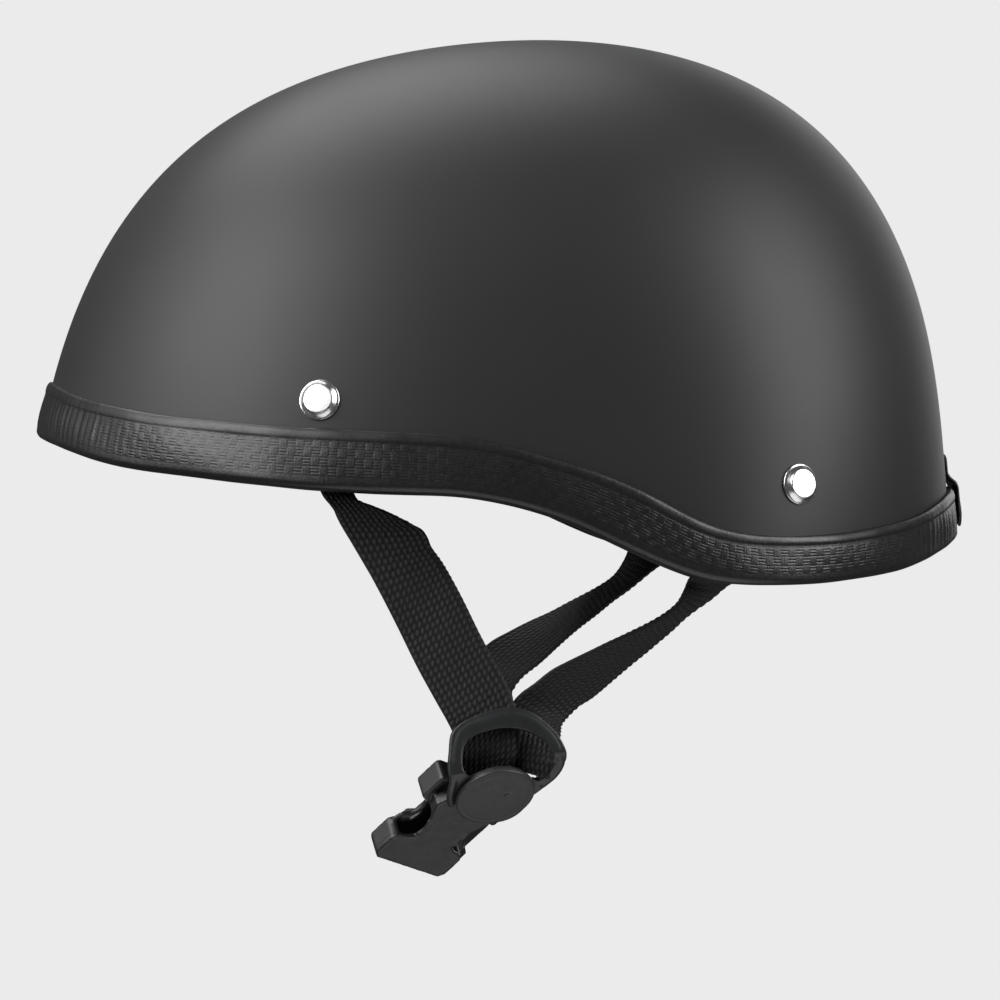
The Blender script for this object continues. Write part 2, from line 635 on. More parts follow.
def make_trim():
    cell_s, cell_u = TRIM_CELL
    rough_len = rim_frame(400)[1]
    cells = int(round(rough_len / cell_s / 2)) * 2
    per = 9
    ns = cells * per
    s, length, p, t, n, u, hgt = rim_frame(ns)
    prof = trim_profile(16.0)
    m = len(prof)
    U = np.repeat(prof[None, :, 0], ns, 0)
    Nn = np.repeat(prof[None, :, 1], ns, 0)
    face = np.repeat(prof[None, :, 2], ns, 0)
    # the outer face's points follow the local height
    up = U > 5.0
    up[:, prof[:, 1] < -3.0] = False
    U = np.where(up, 5.0 + (U - 5.0) * ((hgt[:, None] - 5.0) / 11.0), U)
    S = np.repeat(s[:, None], m, 1)
    # basket weave, rows parallel to the upper edge
    v = (hgt[:, None] - 3.5) - U
    i = np.floor(S / (length / cells))
    j = np.floor(v / cell_u)
    a = S / (length / cells) - i
    b = v / cell_u - j
    pill = (np.sin(np.pi * a) * np.sin(np.pi * np.clip(b, 0, 1))) ** 0.35
    across = np.abs(np.sin(3 * np.pi * b)) ** 0.6
    along = np.abs(np.sin(3 * np.pi * a)) ** 0.6
    even = (i + j) % 2 == 0
    rib = np.where(even, across, 0.86 + 0.14 * along)
    weave = (0.68 + 0.32 * pill) * rib
    y = p[:, 1][:, None]
    tight = smooth_step(-y, 100, 130) * 1.0 + smooth_step(y, 106, 126) * 0.9
    edge = smooth_step(v, -0.1, 0.7) * smooth_step(U, 3.0, 4.2) * (1 - 0.75 * np.clip(tight, 0, 1))
    # the stamp is deeper here and there, as pressed leather is
    depth = 0.17 + 0.05 * np.sin(S * 0.031 + 0.6) + 0.04 * np.sin(S * 0.083 + 2.0)
    Nn = Nn + face * edge * (depth * weave - 0.08)
    # the leather puckers where it bends round the front and the back
    puck = 0.5 * np.sin(S * 2 * np.pi / 3.3 + 1.1 * np.sin(S * 0.21)) + 0.3 * np.sin(S * 2 * np.pi / 5.3 + 0.8) + \
        0.12 * np.sin(S * 2 * np.pi / 1.9 + 2 * np.sin(S * 0.11))
    outside = (Nn > 0.5) | (U < 2.3)
    pos = np.clip((U - 1.0) / (hgt[:, None] - 3.5), 0, 1)
    Nn = Nn - np.where(outside, 0.85 * smooth_step(-y, 112, 132), 0)
    Nn = Nn + np.where(outside, tight * 0.25 * puck * (0.12 + 0.88 * np.sin(np.pi * np.clip(pos, 0, 1))), 0)
    # long soft waves of the hand-laid edge
    Nn = Nn + np.where(outside, 0.10 * np.sin(S * 0.12 + 0.4 * U) + 0.06 * np.sin(S * 0.37 + 1.0), 0)
    # butt joint at the rear centre
    rear = s[np.argmax(p[:, 1])]
    gap = np.exp(-((S - rear) / 0.35) ** 2)
    Nn = Nn - np.where(outside, 0.45 * gap, 0)
    base = p[:, None, :] + u[:, None, :] * U[..., None]
    flat = base.reshape(-1, 3) - C0
    q = form_ray(flat)
    nq = form_normal(q)
    verts = q + nq * Nn.reshape(-1)[:, None]
    quads = grid_quads(ns, m, True, True)
    ob = fast_mesh("trim_leather_edge", verts, quads)
    return finish_piece(ob, "trim", "helmet", "edge_trim")


make_trim()

# ------------------------------------------------------------------- rivets


def axis_frame(origin, z):
    z = np.array(z, float)
    z /= np.linalg.norm(z)
    x = np.cross([0.0, 0.0, 1.0], z)
    x /= np.linalg.norm(x)
    return np.array(origin, float), x, np.cross(z, x), z


def lathe(name, origin, axis, profile, seg=128, roll=0.0):
    """Revolves (height along the axis, radius) points; first and last radius 0 close the form."""
    o, x, y, z = axis_frame(origin, axis)
    prof = np.array(profile, float)
    ang = np.arange(seg) / seg * 2 * np.pi + roll
    inner = prof[1:-1]
    ring = inner[:, None, 1:2] * (np.cos(ang)[None, :, None] * x + np.sin(ang)[None, :, None] * y) + \
        inner[:, None, 0:1] * z + o
    verts = np.concatenate([ring.reshape(-1, 3), [o + z * prof[0, 0]], [o + z * prof[-1, 0]]])
    k = len(inner)
    quads = grid_quads(k, seg, False, True)
    a = np.arange(seg)
    b = (a + 1) % seg
    t0 = np.stack([np.full(seg, k * seg), b, a], 1)
    t1 = np.stack([np.full(seg, k * seg + 1), (k - 1) * seg + a, (k - 1) * seg + b], 1)
    ob = fast_mesh(name, verts, quads, tris=np.concatenate([t0, t1]))
    fix_normals(ob)
    return ob


def fix_normals(ob):
    bm = bmesh.new()
    bm.from_mesh(ob.data)
    bmesh.ops.recalc_face_normals(bm, faces=bm.faces)
    bm.to_mesh(ob.data)
    bm.free()


def arc_pts(cx, cy, r, a0, a1, k):
    return [(cx + r * math.cos(math.radians(a0 + (a1 - a0) * i / k)),
             cy + r * math.sin(math.radians(a0 + (a1 - a0) * i / k))) for i in range(k + 1)]


def surface_at(y, z):
    lo, hi = 0.0, 140.0
    for _ in range(60):
        mid = (lo + hi) / 2
        if form_value(np.array([mid, y, z])) < 0:
            lo = mid
        else:
            hi = mid
    return np.array([lo, y, z])


RIVET_PTS = {"front": surface_at(-59.0, 52.4), "rear": surface_at(76.4, 28.4)}
for end, pt in RIVET_PTS.items():
    for side, sx in (("left", 1), ("right", -1)):
        nn = form_normal(pt) * np.array([sx, 1, 1])
        tail = -8.0
        prof = [(tail, 0), (tail, 2.4)] + arc_pts(tail + 0.5, 2.8, 0.5, 180, 90, 4)[1:] + \
            [(tail + 0.9, 3.25), (tail + 1.08, 3.1), (tail + 1.08, 2.0), (-0.35, 2.0), (-0.3, 5.4)] + \
            arc_pts(0.1, 5.45, 0.34, 180, 90, 4) + arc_pts(0.24, 5.4, 0.38, 80, 20, 5) + \
            [(0.66, 5.28), (0.92, 5.02), (1.4, 4.55), (1.72, 4.24)] + arc_pts(1.62, 3.9, 0.36, 58, 12, 5) + \
            [(1.99, 3.6), (2.03, 3.0), (2.06, 2.2), (2.08, 1.4), (2.085, 0.7), (2.09, 0)]
        rv = lathe(f"rivet_{end}_{side}_turned", pt * np.array([sx, 1, 1]), nn, prof)
        finish_piece(rv, "rivet", "helmet", f"rivet_{end}_{side}")

# ------------------------------------------------------------------- straps
SWING_PT = np.array([91.5, 0.0, 11.5])
HV = np.array([0.0, 107.0, -26.0])
HV /= np.linalg.norm(HV)
QV = np.array([98.0, 0.0, -38.0]) - SWING_PT
QV -= QV.dot(HV) * HV
QV /= np.linalg.norm(QV)
NV = np.cross(HV, -QV)
NV *= np.sign(NV[0])
DISC_C = np.array([96.6, -9.66, -59.23])
DISC_N = np.array([0.6794, 0.1766, -0.7122])
DISC_N /= np.linalg.norm(DISC_N)
DISC_A = np.array([-0.5057, -0.5907, -0.6288])
DISC_A -= DISC_A.dot(DISC_N) * DISC_N
DISC_A /= np.linalg.norm(DISC_A)
DISC_W = np.cross(DISC_N, DISC_A)
SHIFT_R = (21.5, 13.1)
DISC_C_R = DISC_C + HV * SHIFT_R[0] + QV * SHIFT_R[1]
TURN_R = math.radians(-10.0)
DISC_A_R = DISC_A * math.cos(TURN_R) + DISC_W * math.sin(TURN_R)
DISC_W_R = np.cross(DISC_N, DISC_A_R)


def smooth_curve(pts, samples):
    """Centripetal spline through points of any dimension, evenly spaced along its length."""
    pts = np.array(pts, float)
    p = np.vstack([2 * pts[0] - pts[1], pts, 2 * pts[-1] - pts[-2]])
    out = []
    for k in range(1, len(p) - 2):
        p0, p1, p2, p3 = p[k - 1], p[k], p[k + 1], p[k + 2]
        d1 = max(np.linalg.norm(p1 - p0), 1e-6) ** 0.5
        d2 = max(np.linalg.norm(p2 - p1), 1e-6) ** 0.5
        d3 = max(np.linalg.norm(p3 - p2), 1e-6) ** 0.5
        m1 = (p1 - p0) / d1 - (p2 - p0) / (d1 + d2) + (p2 - p1) / d2
        m2 = (p2 - p1) / d2 - (p3 - p1) / (d2 + d3) + (p3 - p2) / d3
        t = np.linspace(0, 1, 25)[:, None]
        m1, m2 = m1 * d2, m2 * d2
        out.append((2 * t ** 3 - 3 * t ** 2 + 1) * p1 + (t ** 3 - 2 * t ** 2 + t) * m1 +
                   (-2 * t ** 3 + 3 * t ** 2) * p2 + (t ** 3 - t ** 2) * m2)
    c = np.vstack([o[:-1] for o in out] + [out[-1][-1:]])
    s = np.concatenate([[0], np.cumsum(np.linalg.norm(np.diff(c, axis=0), axis=1))])
    w = np.linspace(0, s[-1], samples)
    return np.stack([np.interp(w, s, c[:, k]) for k in range(c.shape[1])], 1), s[-1]


def depth_of(p):
    """Depth under the shell's outer surface, about, in mm."""
    e = 0.05
    g = np.stack([form_value(p + d) - form_value(p - d) for d in np.eye(3) * e], -1) / (2 * e)
    return -form_value(p) / np.linalg.norm(g, axis=-1)


def on_side(hq, depth):
    """Points on the line through (h, q) of the strap plane, along its normal, at a depth under the outer surface."""
    p = SWING_PT + hq[:, :1] * HV + hq[:, 1:2] * QV
    x = np.zeros(len(p))
    for _ in range(30):
        pt = p + x[:, None] * NV
        x += np.clip(depth_of(pt) - depth, -3, 3)
    return x


def webbing(name, rows, side, width=20.0, thick=1.3, pitch=(1.62, 1.9), fold_r=1.05, ripple=0.25):
    """One continuous strap. Each row of `rows` is (h, q, x) of edge A, (h, q, x) of edge B and the width of
    webbing at that row; where the edges are closer than that, the rest folds behind edge B."""
    rows = np.array(rows, float)
    probe, length = smooth_curve(rows, 200)
    mid = (probe[:, :2] + probe[:, 3:5]) / 2
    length = np.linalg.norm(np.diff(mid, axis=0), axis=1).sum()
    ns = int(length / 0.34)
    c, _ = smooth_curve(rows, ns)
    A = SWING_PT + c[:, 0:1] * HV + c[:, 1:2] * QV + c[:, 2:3] * NV
    B = SWING_PT + c[:, 3:4] * HV + c[:, 4:5] * QV + c[:, 5:6] * NV
    total = np.maximum(c[:, 6], 3.0)
    D = B - A
    V = np.linalg.norm(D, axis=1)
    D /= V[:, None]
    M = (A + B) / 2
    T = np.gradient(M, axis=0)
    T /= np.linalg.norm(T, axis=1)[:, None]
    N = np.cross(T, D)
    N *= np.where((N @ NV) < 0, -1.0, 1.0)[:, None]
    N /= np.linalg.norm(N, axis=1)[:, None]
    s_at = np.concatenate([[0], np.cumsum(np.linalg.norm(np.diff(M, axis=0), axis=1))])
    # fold at edge B
    ex = np.maximum(total - V, 0)
    theta = np.sqrt(np.clip(ex / 3.6, 0, 1)) * np.pi
    st, ct = np.sin(theta), np.cos(theta)
    flat = theta < 0.12
    a_len = np.where(theta < np.pi / 2,
                     (V - fold_r * st - (total - fold_r * theta) * ct) / np.maximum(1 - ct, 1e-3), V - fold_r)
    a_len = np.where(flat, total, np.clip(a_len, 0.4, total))
    m = 97
    w = np.linspace(0, 1, m)[None, :] * total[:, None]
    t_in = np.clip((w - a_len[:, None]) / fold_r, 0, theta[:, None])
    run = np.maximum(w - a_len[:, None] - fold_r * theta[:, None], 0)
    x = np.minimum(w, a_len[:, None]) + fold_r * np.sin(t_in) + run * ct[:, None]
    y = -fold_r * (1 - np.cos(t_in)) - run * st[:, None]
    scale = np.where(flat, V / total, 1.0)[:, None]
    x = x * scale
    mx, my = np.cos(t_in), -np.sin(t_in)                  # direction along the section
    nx, ny = -my, mx                                      # its outward normal
    # soft ripples along the strap
    wave = ripple * (np.sin(s_at * 0.11 + 0.7)[:, None] * np.cos(np.pi * w / total[:, None]) +
                     0.5 * np.sin(s_at[:, None] * 0.27 + w * 0.21))
    # woven face
    col_w, row_l = pitch
    cols = max(round(width / col_w), 3)
    wf = w / total[:, None] * cols
    col = np.floor(np.clip(wf, 0, cols - 1e-6))
    a = wf - col
    sgn = np.where(col % 2 == 0, 1.0, -1.0)
    b = s_at[:, None] / row_l + 0.06 * sgn
    bf = b - np.floor(b)
    yarn = np.exp(-((a - 0.5 + 0.62 * (bf - 0.5)) / 0.2) ** 2) * np.sin(np.pi * bf) ** 0.6
    yarn = 0.1 * np.sin(np.pi * np.clip(a, 0.02, 0.98)) + 0.9 * yarn
    selv = np.clip(np.minimum(w, total[:, None] - w) / 0.8, 0, 1)
    yarn = yarn * (0.35 + 0.65 * selv) + 0.25 * (1 - selv) * (0.5 + 0.5 * np.sin(2 * np.pi * s_at[:, None] / row_l))
    lift = 0.42 * yarn
    edge_round = np.sqrt(np.clip(1 - (1 - np.clip(selv, 0, 1)) ** 2, 0.0, 1.0))
    half = (thick / 2 - 0.1) * (0.45 + 0.55 * edge_round)
    O = A[:, None, :] + D[:, None, :] * x[..., None] + N[:, None, :] * (y + wave)[..., None]
    out = D[:, None, :] * nx[..., None] + N[:, None, :] * ny[..., None]
    front = O + out * (half + lift)[..., None]
    back = O - out * (half + lift * 0.8)[..., None]
    ring = np.concatenate([front, back[:, ::-1]], 1)
    values = np.concatenate([yarn, yarn[:, ::-1]], 1)
    n2 = 2 * m
    quads = grid_quads(ns, n2, False, True)
    k = np.arange(m - 1)
    cap0 = np.stack([k, k + 1, n2 - 2 - k, n2 - 1 - k], 1)
    cap1 = cap0 + (ns - 1) * n2
    verts = ring.reshape(-1, 3) * np.array([side, 1, 1])
    ob = fast_mesh(name, verts, np.concatenate([quads, cap0, cap1]))
    fix_normals(ob)
    set_attribute(ob, "yarn", values)
    return ob


def inside_rows(top, side_in, widths, depths):
    """Rows between foam and shell: edge pairs in (h, q) with their depths under the outer surface."""
    rows = []
    for (ah, aq, bh, bq), wd, dp in zip(top, widths, depths):
        xs = on_side(np.array([(ah, aq), (bh, bq)], float), dp)
        rows.append((ah, aq, xs[0], bh, bq, xs[1], wd))
    return rows


# left front strap: spread behind its rivet, pleated at the exit, full width below the folded corner
front_in = inside_rows([(-80.0, -33.0, -61.4, -39.6), (-76.4, -21.7, -57.6, -28.3), (-72.6, -13.6, -55.6, -19.4),
                        (-66.4, -7.4, -53.8, -11.4), (-62.6, -4.0, -52.4, -6.6)],
                       None, (20, 20, 19.0, 17.5, 17.0), (4.9, 4.9, 6.4, 8.0, 8.0))
front_rows = front_in + [
    (-60.65, -1.37, -0.4, -51.9, -3.2, 0.1, 16.5), (-58.38, 0.97, 0.0, -50.4, -1.1, 0.8, 16.5),
    (-56.9, 2.2, 0.2, -45.2, -0.2, 0.9, 18.0), (-55.1, 3.8, 0.2, -39.6, 0.7, 0.6, 19.0),
    (-53.3, 5.9, 0.1, -34.6, 1.8, 0.4, 19.9), (-51.3, 8.2, 0.0, -30.5, 2.7, 0.2, 20.6),
    (-48.6, 11.0, 0.0, -28.4, 4.4, 0.1, 20.6), (-44.6, 15.2, 0.0, -26.4, 7.2, 0.0, 20.0),
    (-38.2, 22.4, 0.0, -22.2, 11.2, 0.0, 20.0), (-30.2, 31.8, 0.0, -15.4, 18.6, 0.0, 20.0),
    (-22.5, 41.2, 0.0, -8.0, 27.6, 0.0, 20.0), (-15.6, 48.9, 0.0, -1.8, 34.9, 0.0, 20.0),
    (-10.6, 54.4, -0.1, 3.3, 41.0, 0.0, 20.0), (-7.6, 58.6, -0.5, 7.0, 47.2, 0.2, 19.5),
    (-6.4, 62.0, -1.4, 8.9, 53.4, 0.1, 19.0), (-5.4, 65.2, -3.6, 9.6, 58.0, -0.6, 18.6),
    (-4.0, 68.2, -5.8, 9.4, 61.6, -2.2, 18.0)]
lf = webbing("webbing_front_left_woven", front_rows, 1)
finish_piece(lf, "webbing", None, "front_webbing_left", "anchor_webbing_front_left")
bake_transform(lf)


def twist_row(ah, aq, bh, bq, wd, x0=0.0):
    """Row of a twisted stretch: edge B lies deeper, so that the webbing keeps its width."""
    v = math.hypot(bh - ah, bq - aq)
    return (ah, aq, x0, bh, bq, x0 - math.sqrt(max(wd * wd - v * v, 0.0)), wd)


# left rear strap: comes out half folded, then turns nearly edge-on and flattens again at the ring
rear_in = inside_rows([(76.5, -51.5, 91.0, -38.0), (67.0, -40.5, 81.0, -26.5), (58.2, -28.0, 72.4, -14.6),
                       (53.0, -15.2, 66.4, -8.0), (50.2, -8.0, 62.6, -5.0)],
                      None, (20, 20, 19.6, 15.3, 12.9), (4.9, 4.9, 4.9, 7.6, 8.0))
rear_rows = rear_in + [
    (46.55, -1.67, 0.3, 58.66, -2.81, -4.3, 13.0), (45.77, 2.38, 0.3, 55.18, 1.74, -8.64, 13.0),
    (44.48, 6.55, 0.5, 50.26, 7.44, -12.22, 14.0), (41.26, 10.7, 0.8, 46.92, 12.31, -14.08, 16.0),
    (36.86, 15.14, 1.4, 42.77, 17.38, -15.45, 18.0), (32.29, 18.89, 2.0, 39.0, 22.35, -15.98, 19.5),
    (27.29, 22.49, 2.2, 35.17, 27.63, -15.44, 20.0), (21.6, 26.93, 1.9, 30.8, 33.52, -14.59, 20.0),
    (17.66, 30.1, 1.4, 28.33, 36.75, -14.16, 20.0), (14.05, 33.15, 0.6, 25.4, 39.9, -13.0, 19.0),
    (10.06, 37.83, -1.0, 22.6, 44.2, -11.0, 18.0), (7.03, 41.3, -2.0, 21.4, 46.4, -9.0, 17.6),
    (4.8, 46.4, -2.4, 21.3, 49.0, -6.6, 17.6), (4.6, 52.0, -2.6, 21.4, 52.4, -4.8, 17.4),
    (5.2, 57.2, -3.4, 21.2, 56.0, -3.6, 17.0), (6.4, 60.0, -4.6, 21.0, 59.6, -3.2, 16.6),
    (7.4, 61.6, -5.4, 20.6, 62.4, -4.0, 16.0)]
lr = webbing("webbing_rear_left_woven", rear_rows, 1)
finish_piece(lr, "webbing", None, "rear_webbing_left", "anchor_webbing_rear_left")
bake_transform(lr)

# right side, drawn in the left frame and mirrored; it hangs further back and lower
front_in_r = inside_rows([(-85.0, -29.5, -67.8, -39.8), (-76.4, -20.9, -58.9, -29.9), (-70.4, -13.4, -54.0, -21.8),
                          (-60.4, -6.8, -49.4, -12.6), (-54.2, -3.4, -45.4, -7.6)],
                         None, (20, 20, 18.6, 15.5, 14.0), (4.9, 4.9, 6.4, 8.0, 8.0))
front_rows_r = front_in_r + [
    (-49.8, -0.6, -0.4, -42.6, -3.4, 0.0, 12.5), (-46.2, 2.6, 0.0, -39.8, -0.4, 0.2, 12.0),
    (-43.4, 6.4, 0.0, -36.2, 3.6, 0.2, 12.2), (-39.6, 11.4, 0.0, -31.0, 7.2, 0.0, 13.0),
    (-34.4, 16.8, 0.0, -24.4, 10.2, 0.0, 14.6), (-28.6, 22.8, 0.0, -16.6, 14.6, 0.0, 17.0),
    (-22.6, 29.0, 0.0, -9.8, 19.2, 0.0, 18.6), (-16.8, 35.0, 0.0, -4.0, 24.8, 0.0, 19.6),
    (-10.6, 41.2, 0.0, 2.0, 30.8, 0.0, 20.0), (-4.4, 47.6, 0.0, 8.0, 37.4, 0.0, 20.0),
    (1.8, 54.2, 0.0, 13.8, 43.8, 0.0, 20.0), (7.4, 60.4, 0.0, 19.2, 50.2, 0.0, 20.0),
    (12.4, 67.2, -0.2, 23.4, 56.0, 0.0, 19.6), (15.8, 72.0, -0.9, 26.6, 61.4, 0.2, 19.0),
    (17.6, 75.4, -2.2, 29.2, 67.0, 0.0, 18.6), (19.2, 77.6, -4.2, 30.6, 71.2, -0.6, 18.2),
    (20.4, 80.2, -6.3, 30.5, 74.7, -2.2, 18.0)]
rf = webbing("webbing_front_right_woven", front_rows_r, -1)
finish_piece(rf, "webbing", None, "front_webbing_right", "anchor_webbing_front_right")
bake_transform(rf)

rear_in_r = inside_rows([(76.5, -51.5, 91.0, -38.0), (67.0, -40.5, 81.0, -26.5), (58.2, -28.0, 72.4, -14.6),
                         (53.6, -15.2, 66.8, -8.0), (51.6, -8.0, 64.0, -4.6)],
                        None, (20, 20, 19.6, 15.3, 12.9), (4.9, 4.9, 4.9, 7.6, 8.0))
rear_rows_r = rear_in_r + [
    (50.75, -0.55, 0.3, 61.12, -0.62, -7.54, 13.0), (50.14, 3.4, 0.3, 57.48, 2.97, -10.42, 13.0),
    (48.56, 7.66, 0.5, 52.12, 9.33, -12.94, 14.0), (46.22, 10.98, 0.8, 48.3, 13.09, -14.92, 16.0),
    (41.63, 16.05, 1.4, 44.09, 17.7, -16.35, 18.0), (37.37, 20.19, 2.0, 40.57, 21.8, -17.17, 19.5),
    (32.51, 24.39, 2.2, 37.47, 26.38, -17.07, 20.0), (26.61, 28.75, 1.9, 34.09, 31.87, -16.38, 20.0),
    (21.21, 33.16, 1.0, 30.45, 37.73, -16.14, 20.0), (15.6, 37.91, -0.2, 26.6, 43.8, -14.4, 19.4),
    (13.4, 41.9, -1.4, 25.2, 48.4, -12.6, 18.6), (13.6, 47.4, -2.4, 26.2, 52.8, -10.0, 18.0),
    (15.8, 53.6, -2.8, 29.6, 57.2, -7.4, 17.6), (19.4, 60.0, -3.0, 33.8, 61.4, -6.0, 17.4),
    (24.2, 65.4, -3.2, 37.6, 65.2, -5.2, 17.0), (27.0, 69.2, -3.8, 38.6, 67.8, -4.8, 16.6),
    (28.6, 71.4, -4.8, 38.0, 69.8, -5.2, 16.0)]
rr = webbing("webbing_rear_right_woven", rear_rows_r, -1)
finish_piece(rr, "webbing", None, "rear_webbing_right", "anchor_webbing_rear_right")
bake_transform(rr)

# ---------------------------------------------------- rings, discs and buckles


def cad_copy(name, *nodes):
    """One new mesh with the shapes of these CAD nodes, in the row frame."""
    bm = bmesh.new()
    for node in nodes:
        src = frame["nodes"][node]
        me = src.data.copy()
        me.transform(src.matrix_world)
        bm.from_mesh(me)
        bpy.data.meshes.remove(me)
    me = bpy.data.meshes.new(name)
    bm.to_mesh(me)
    bm.free()
    me.materials.clear()
    ob = bpy.data.objects.new(name, me)
    scene.collection.objects.link(ob)
    return ob


def absorb(ob, *others):
    """Adds the meshes of the others to ob's mesh, and removes them."""
    bm = bmesh.new()
    bm.from_mesh(ob.data)
    for o in others:
        me = o.data.copy()
        me.transform(o.matrix_world)
        bm.from_mesh(me)
        bpy.data.meshes.remove(me)
    bm.to_mesh(ob.data)
    bm.free()
    for o in others:
        bpy.data.objects.remove(o, do_unlink=True)


def cut_away(ob, cutter):
    mod = ob.modifiers.new("cut", "BOOLEAN")
    mod.operation = "DIFFERENCE"
    mod.object = cutter
    mod.solver = "EXACT"
    apply_all(ob)
    bpy.data.objects.remove(cutter, do_unlink=True)


def apply_all(ob):
    dg = bpy.context.evaluated_depsgraph_get()
    me = bpy.data.meshes.new_from_object(ob.evaluated_get(dg))
    ob.modifiers.clear()
    old = ob.data
    ob.data = me
    bpy.data.meshes.remove(old)


def soften(ob, voxel, rounds, factor=0.5):
    """Moulded look: one skin with rounded edges."""
    mod = ob.modifiers.new("skin", "REMESH")
    mod.mode = "VOXEL"
    mod.voxel_size = voxel * MM
    mod.use_smooth_shade = True
    sm = ob.modifiers.new("round", "SMOOTH")
    sm.factor = factor
    sm.iterations = rounds
    apply_all(ob)
    ob.data.polygons.foreach_set("use_smooth", np.ones(len(ob.data.polygons), bool))
    return ob


def prism(name, outline, origin, xd, yd, zd, z0, z1, inset=0.0, taper_at=None):
    """Solid between two depths over an outline in a plane; the far side may be drawn in."""
    pts = np.array(outline, float)
    c = pts.mean(0)
    top = c + (pts - c) * (1 - inset)
    o, xd, yd, zd = (np.array(v, float) for v in (origin, xd, yd, zd))
    lo = o + pts[:, :1] * xd + pts[:, 1:] * yd + zd * z0
    hi = o + top[:, :1] * xd + top[:, 1:] * yd + zd * z1
    n = len(pts)
    me = bpy.data.meshes.new(name)
    me.from_pydata([tuple(v * MM) for v in np.concatenate([lo, hi])], [],
                   [tuple(range(n - 1, -1, -1)), tuple(range(n, 2 * n))] +
                   [(i, (i + 1) % n, n + (i + 1) % n, n + i) for i in range(n)])
    ob = bpy.data.objects.new(name, me)
    scene.collection.objects.link(ob)
    fix_normals(ob)
    return ob


def tube_on(name, path, radius, seg=14, squash_to=None, flat=1.0):
    """Closed round bar along points in millimetres, with rounded-off ends."""
    c, length = smooth_curve(path, 90)
    t = np.gradient(c, axis=0)
    t /= np.linalg.norm(t, axis=1)[:, None]
    ref = np.array(squash_to if squash_to is not None else NV, float)
    side = np.cross(t, ref)
    side /= np.linalg.norm(side, axis=1)[:, None]
    upv = np.cross(side, t)
    a = np.arange(seg) / seg * 2 * np.pi
    k = np.arange(len(c))
    shrink = np.sqrt(np.clip(1 - np.clip(1 - np.minimum(k, len(c) - 1 - k) / 5.0, 0, 1) ** 2, 0.02, 1))
    ring = c[:, None, :] + (np.cos(a)[None, :, None] * side[:, None, :] +
                            np.sin(a)[None, :, None] * upv[:, None, :] * flat) * (radius * shrink)[:, None, None]
    n = len(c)
    verts = np.concatenate([ring.reshape(-1, 3), c[:1], c[-1:]])
    quads = grid_quads(n, seg, False, True)
    i = np.arange(seg)
    j = (i + 1) % seg
    t0 = np.stack([np.full(seg, n * seg), j, i], 1)
    t1 = np.stack([np.full(seg, n * seg + 1), (n - 1) * seg + i, (n - 1) * seg + j], 1)
    ob = fast_mesh(name, verts, quads, tris=np.concatenate([t0, t1]))
    fix_normals(ob)
    return ob


def mirror_mesh(ob):
    ob.data.transform(Matrix.Scale(-1, 4, (1, 0, 0)))
    ob.data.flip_normals()


def on_plane(h_, q_, x_):
    return SWING_PT + HV * h_ + QV * q_ + NV * x_


CREST = [(-6.2, 66.4), (-7.0, 61.4), (-7.0, 57.0), (-5.4, 54.4), (-2.2, 52.0), (1.4, 49.9), (5.2, 48.5), (8.7, 48.1),
         (12.2, 48.8), (15.2, 50.2), (17.6, 51.8), (19.8, 54.2), (20.9, 56.0)]


def make_ring(side):
    shift = (0.0, 0.0) if side == "left" else SHIFT_R
    body = cad_copy(f"ring_{side}_moulded", f"strap_ring_{side}")
    if side == "right":
        mirror_mesh(body)
    # the bar's rounded crest, nearer its outer edge
    path = [on_plane(a + shift[0], b + shift[1], 3.7) for a, b in CREST]
    c, n_, a_, w_ = (DISC_C, DISC_N, DISC_A, DISC_W) if side == "left" else (DISC_C_R, DISC_N, DISC_A, DISC_W)
    leg = [c + a_ * la + w_ * lw - n_ * ld for la, lw, ld in ((-4.1, -16.4, 5.8), (-2.2, -15.9, 3.7), (0.2, -14.9, 2.5),
                                                              (3.0, -13.5, 2.0), (5.6, -11.9, 1.9), (8.0, -9.9, 2.0),
                                                              (9.9, -7.6, 2.1))]
    # and the rear one lies on the tab's arm
    arm = [on_plane(18.8 + shift[0], 53.0 + shift[1], 3.6), on_plane(20.2 + shift[0], 55.0 + shift[1], 3.5)] + \
        [c + a_ * (-0.793 * u - 0.609 * v) + w_ * (0.609 * u - 0.793 * v) - n_ * ld
         for u, v, ld in ((20.5, 4.6, 2.3), (19.2, 1.4, 2.2), (16.8, -1.4, 2.2), (13.9, -3.4, 2.3), (12.9, -4.0, 2.4))]
    absorb(body, tube_on("crest", path, 1.7, flat=0.5), tube_on("leg", leg, 1.15, squash_to=DISC_N, flat=0.7),
           tube_on("arm", arm, 1.45, squash_to=DISC_N, flat=0.6))
    soften(body, 0.25, 14)
    if side == "right":
        mirror_mesh(body)
    return finish_piece(body, "ring", f"straps_{side}", f"strap_ring_{side}")


